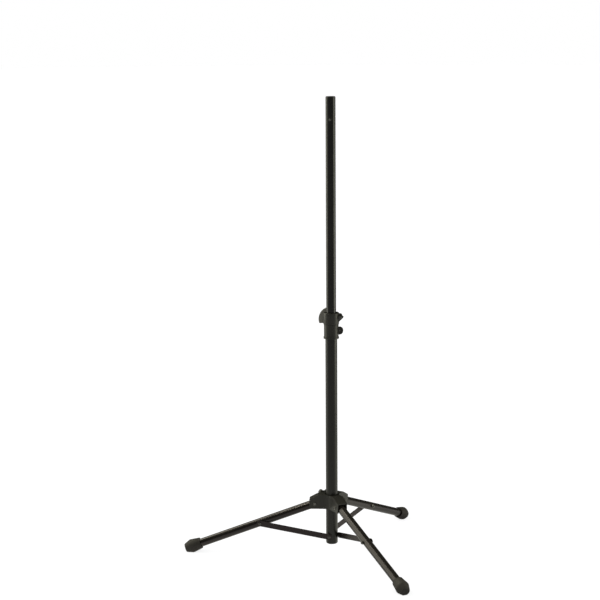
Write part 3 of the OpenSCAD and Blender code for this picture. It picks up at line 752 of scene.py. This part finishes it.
def build_feet():
    """Rubber feet: a thin rim round the leg, a cone that swells to the belly, and a toe with a soft edge."""
    mouth, mouth_r = -30.0, 20.0
    belly, belly_r, belly_round = 4.0, 24.5, 14.0
    toe, toe_r, toe_round = 29.5, 16.5, 3.0
    rim_t, rim_deep, ease, lip = 1.8, 3.0, 0.4, 1.0
    bore, bore_end = LEG_RAD + SEAT_GAP, 7.0 + SEAT_GAP
    back = math.degrees(math.atan2(belly_r - mouth_r, belly - mouth))
    front = math.degrees(math.atan2(belly_r - toe_r, toe - belly))
    rings = [(bore_end, END_FLAT), (bore_end, bore), (mouth + rim_deep, bore),
             (mouth + rim_deep, mouth_r - lip - rim_t), (mouth + ease, mouth_r - rim_t),
             (mouth, mouth_r - rim_t + ease)]
    rings += arc(mouth + lip, mouth_r - lip, lip, -90, -back, 5)
    swell = arc(belly, belly_r - belly_round, belly_round, -back, front, 12)
    rings += fine_line(rings[-1], swell[0], at=mouth + 4.5, depth=0.35)
    rings += swell
    rings += arc(toe - toe_round, toe_r - toe_round, toe_round, front, 90, 7)
    rings += [(toe, END_FLAT)]
    for side in LEGS:
        solid = placed(turned(rings, steps=96), leg_frame(side, LEG_L) @ ALONG_X)
        piece(f"foot_detail_{side}", [solid], f"foot_{side}", on_floor=True)


def lobed(reach, flute, away, ease):
    """The outline of a circle with four flutes cut into it and eased corners.

    reach, flute and ease are the radii of the circle, the flutes and the corners; away is how far out
    the centres of the flutes lie.
    """
    fillet_at = reach - ease
    fillet = math.acos((fillet_at ** 2 + away ** 2 - (flute + ease) ** 2) / (2 * fillet_at * away))
    fillet_centre = Vector((fillet_at * math.cos(fillet), fillet_at * math.sin(fillet)))
    flute_centre = Vector((away, 0))
    meeting = flute_centre + (fillet_centre - flute_centre).normalized() * flute
    touch = math.atan2(meeting.y, meeting.x)

    def outline(a):
        """Radius at an angle: in a flute, on an eased corner, or on the circle."""
        a = abs((a + math.pi / 4) % (math.pi / 2) - math.pi / 4)
        if a < touch:
            return away * math.cos(a) - math.sqrt(flute ** 2 - (away * math.sin(a)) ** 2)
        if a < fillet:
            off = fillet - a
            return fillet_at * math.cos(off) + math.sqrt(ease ** 2 - (fillet_at * math.sin(off)) ** 2)
        return reach

    return outline


def build_lock_knob():
    """Four-lobed knob with rounded rims, a neck and a dished face."""
    start, neck, ease = 39.97, 9.0, 0.6
    low = start + 8.0
    grip, reach = 17.0, 26.5
    high = low + grip
    rim_low, rim_high = 2.0, 3.0
    lobes = lobed(reach, flute=13.0, away=28.6, ease=3.0)

    def grip_ring(z, inset):
        """A ring with the lobed outline, drawn in by so much."""
        return (z, reach, lambda a: lobes(a) - inset)

    rings = [(start, 4.1), (start, neck - ease), (start + ease, neck), (low - ease, neck), (low, neck + ease)]
    rings += [grip_ring(low + rim_low - z, rim_low - r) for z, r in arc(0, 0, rim_low, 90, 0, 6)]
    rings += [grip_ring(low + grip * share, 0.0) for share in (0.3, 0.5, 0.7)]
    rings += [grip_ring(high - rim_high + z, rim_high - r) for z, r in arc(0, 0, rim_high, 0, 90, 8)]
    rings += [(high, 11.4), (high - 0.3, 10.9), (high - 0.9, 10.6), (high - 0.9, END_FLAT)]
    at_lock = shift(0, 0, LOCK_Z) @ arm_frame(LOCK_WAY) @ ALONG_X
    piece("lock_knob_detail", [placed(turned(rings, steps=144), at_lock)], "lock_knob")


build_brace_bolts()
build_brace_nuts()
build_pivot_screws()
build_leg_rivets()
build_clamp_nut()
build_clamp_washer()
build_clamp_bolt()
build_collar_screw()
build_collar_screw_nut()
build_pole_screw()
build_mouldings()
build_collar_bead()
build_braces()
build_feet()
build_lock_knob()


# Floor, light and camera; places and lengths in metres

WHITE = (1.0, 1.0, 1.0, 1.0)
WARM = (1.0, 0.99, 0.80, 1.0)

FLOOR_RADIUS = 40.0
FLOOR_DROP = 0.0005
FLOOR_SHADE = 0.30
FLOOR_GLOW = 0.80  # where the camera sees the floor

# How bright the surroundings look in glossy surfaces
SHINE_LOW = 0.06  # the floor in front and behind
SHINE_SIDE = 0.50  # the floor to the left and right
SHINE_NEAR = 0.30  # the floor close to the stand
SHINE_SKY = 0.05

# How bright the sky is to matt surfaces
SOFT_SKY = 0.72

# The fitted camera: its focal length and the photograph's width in pixels, its place, its angles in degrees
FOCAL_PX = 1828.5
PHOTO_W_PX = 600.0
SENSOR_W = 36.0
CAMERA_AT = (0.2418, -6.3802, 2.0399)
HEADING = 93.161
TILT = 9.845
ROLL = -0.361


def side_shine(tree, where):
    """How bright the floor looks in glossy surfaces: lit to the left, to the right and close to the stand."""
    part = node(tree, "ShaderNodeSeparateXYZ")
    wire(tree, where, (part, 0))
    squares = maths(tree, "ADD", maths(tree, "MULTIPLY", (part, "X"), (part, "X")),
                    maths(tree, "MULTIPLY", (part, "Y"), (part, "Y")))
    away = maths(tree, "MAXIMUM", maths(tree, "SQRT", squares), 0.001)
    behind = maths(tree, "DIVIDE", (part, "Y"), away)
    from_front = fade(tree, behind, start=-0.50, end=0.10, kind="SMOOTHSTEP")
    from_back = fade(tree, behind, start=0.85, end=0.35, kind="SMOOTHSTEP")
    sides = maths(tree, "MULTIPLY", from_front, from_back)
    near = fade(tree, away, start=0.4, end=1.6, low=SHINE_NEAR, high=SHINE_LOW)
    return maths(tree, "MULTIPLY_ADD", sides, SHINE_SIDE - SHINE_LOW, near)


def plain_share(tree, seen):
    """1 for rays that see the white backdrop itself."""
    return maths(tree, "ADD", (seen, "Is Camera Ray"), (seen, "Is Transmission Ray"), clamp=True)


def light_colour(tree, plain):
    """White where the backdrop is seen, warm where it lights the stand."""
    made = node(tree, "ShaderNodeMix", {MIX_FIRST: WARM, MIX_SECOND: WHITE}, data_type="RGBA")
    wire(tree, plain, (made, "Factor"))
    return (made, MIX_RESULT)


def floor_material():
    """A neutral floor that shows white and keeps the stand's shadow."""
    material = bpy.data.materials.new("floor")
    tree = blank_tree(material)
    neutral = tuple(FLOOR_SHADE / c for c in WARM[:3]) + (1.0,)
    lit = node(tree, "ShaderNodeBsdfDiffuse", {"Color": neutral, "Roughness": 1.0})
    glow = node(tree, "ShaderNodeEmission")
    seen = node(tree, "ShaderNodeLightPath")
    plain = plain_share(tree, seen)
    mirrored_floor = side_shine(tree, (node(tree, "ShaderNodeTexCoord"), "Object"))
    shine = maths(tree, "MULTIPLY", (seen, "Is Glossy Ray"), mirrored_floor)
    wire(tree, maths(tree, "MULTIPLY_ADD", plain, FLOOR_GLOW, shine), (glow, "Strength"))
    wire(tree, light_colour(tree, plain), (glow, "Color"))
    total = node(tree, "ShaderNodeAddShader")
    wire(tree, (lit, "BSDF"), (total, 0))
    wire(tree, (glow, "Emission"), (total, 1))
    wire(tree, (total, "Shader"), (node(tree, "ShaderNodeOutputMaterial"), "Surface"))
    return material


def stage_floor():
    """A wide disc just under the feet."""
    bm = bmesh.new()
    bmesh.ops.create_circle(bm, cap_ends=True, segments=96, radius=FLOOR_RADIUS)
    floor = meshed("floor", bm)
    floor.data.materials.append(floor_material())
    floor.location.z = -FLOOR_DROP


def stage_world():
    """A sky that is white where it is seen, dim in glossy surfaces, and soft light for the rest."""
    world = bpy.data.worlds.new("studio")
    bpy.context.scene.world = world
    tree = blank_tree(world)
    sky = node(tree, "ShaderNodeBackground")
    seen = node(tree, "ShaderNodeLightPath")
    glossy = (seen, "Is Glossy Ray")
    plain = plain_share(tree, seen)
    soft = maths(tree, "SUBTRACT", maths(tree, "SUBTRACT", 1.0, plain), glossy, clamp=True)
    shown = maths(tree, "MULTIPLY_ADD", glossy, SHINE_SKY, plain)
    wire(tree, maths(tree, "MULTIPLY_ADD", soft, SOFT_SKY, shown), (sky, "Strength"))
    wire(tree, light_colour(tree, plain), (sky, "Color"))
    wire(tree, (sky, "Background"), (node(tree, "ShaderNodeOutputWorld"), "Surface"))


def lamp(name, place, aim, width, height, watts):
    """A rectangular lamp that looks at a point."""
    data = bpy.data.lights.new(name, "AREA")
    data.shape = "RECTANGLE"
    data.size = width
    data.size_y = height
    data.energy = watts
    data.color = WARM[:3]
    obj = linked(name, data)
    obj.location = place
    obj.rotation_euler = (Vector(aim) - Vector(place)).to_track_quat("-Z", "Y").to_euler()


def stage_lamps():
    """Soft boxes to the left, to the right and above, and a small one that draws the light on a leg."""
    body, base, leg = (0.0, 0.0, 1.1), (0.0, 0.0, 0.6), (-0.1, 0.0, 0.2)
    lamp("left_box", place=(-3.3, 0.8, 2.0), aim=body, width=2.4, height=4.0, watts=60.0)
    lamp("right_box", place=(3.3, -0.15, 1.3), aim=body, width=1.4, height=2.6, watts=34.0)
    lamp("top_box", place=(-2.7, 1.8, 4.0), aim=base, width=2.0, height=2.0, watts=54.0)
    lamp("leg_glint", place=(-1.10, -0.60, 2.15), aim=leg, width=0.3, height=0.2, watts=6.0)


def stage_camera():
    """The camera stands where the fitted view puts it, with its small roll."""
    heading, tilt, roll = (math.radians(angle) for angle in (HEADING, TILT, ROLL))
    flat = Vector((math.cos(heading), math.sin(heading), 0.0))
    ahead = flat * math.cos(tilt) - Vector((0.0, 0.0, math.sin(tilt)))
    level = Vector((math.sin(heading), -math.cos(heading), 0.0))
    plumb = level.cross(ahead)
    right = level * math.cos(roll) + plumb * math.sin(roll)
    up = plumb * math.cos(roll) - level * math.sin(roll)
    data = bpy.data.cameras.new("camera")
    data.sensor_fit = "HORIZONTAL"
    data.sensor_width = SENSOR_W
    data.lens = SENSOR_W * (FOCAL_PX / PHOTO_W_PX)
    data.clip_end = 200.0
    obj = linked("camera", data)
    obj.matrix_world = shift(*CAMERA_AT) @ Matrix((right, up, -ahead)).transposed().to_4x4()
    bpy.context.scene.camera = obj


stage_floor()
stage_world()
stage_camera()
stage_lamps()

bpy.context.scene.view_settings.view_transform = "Standard"
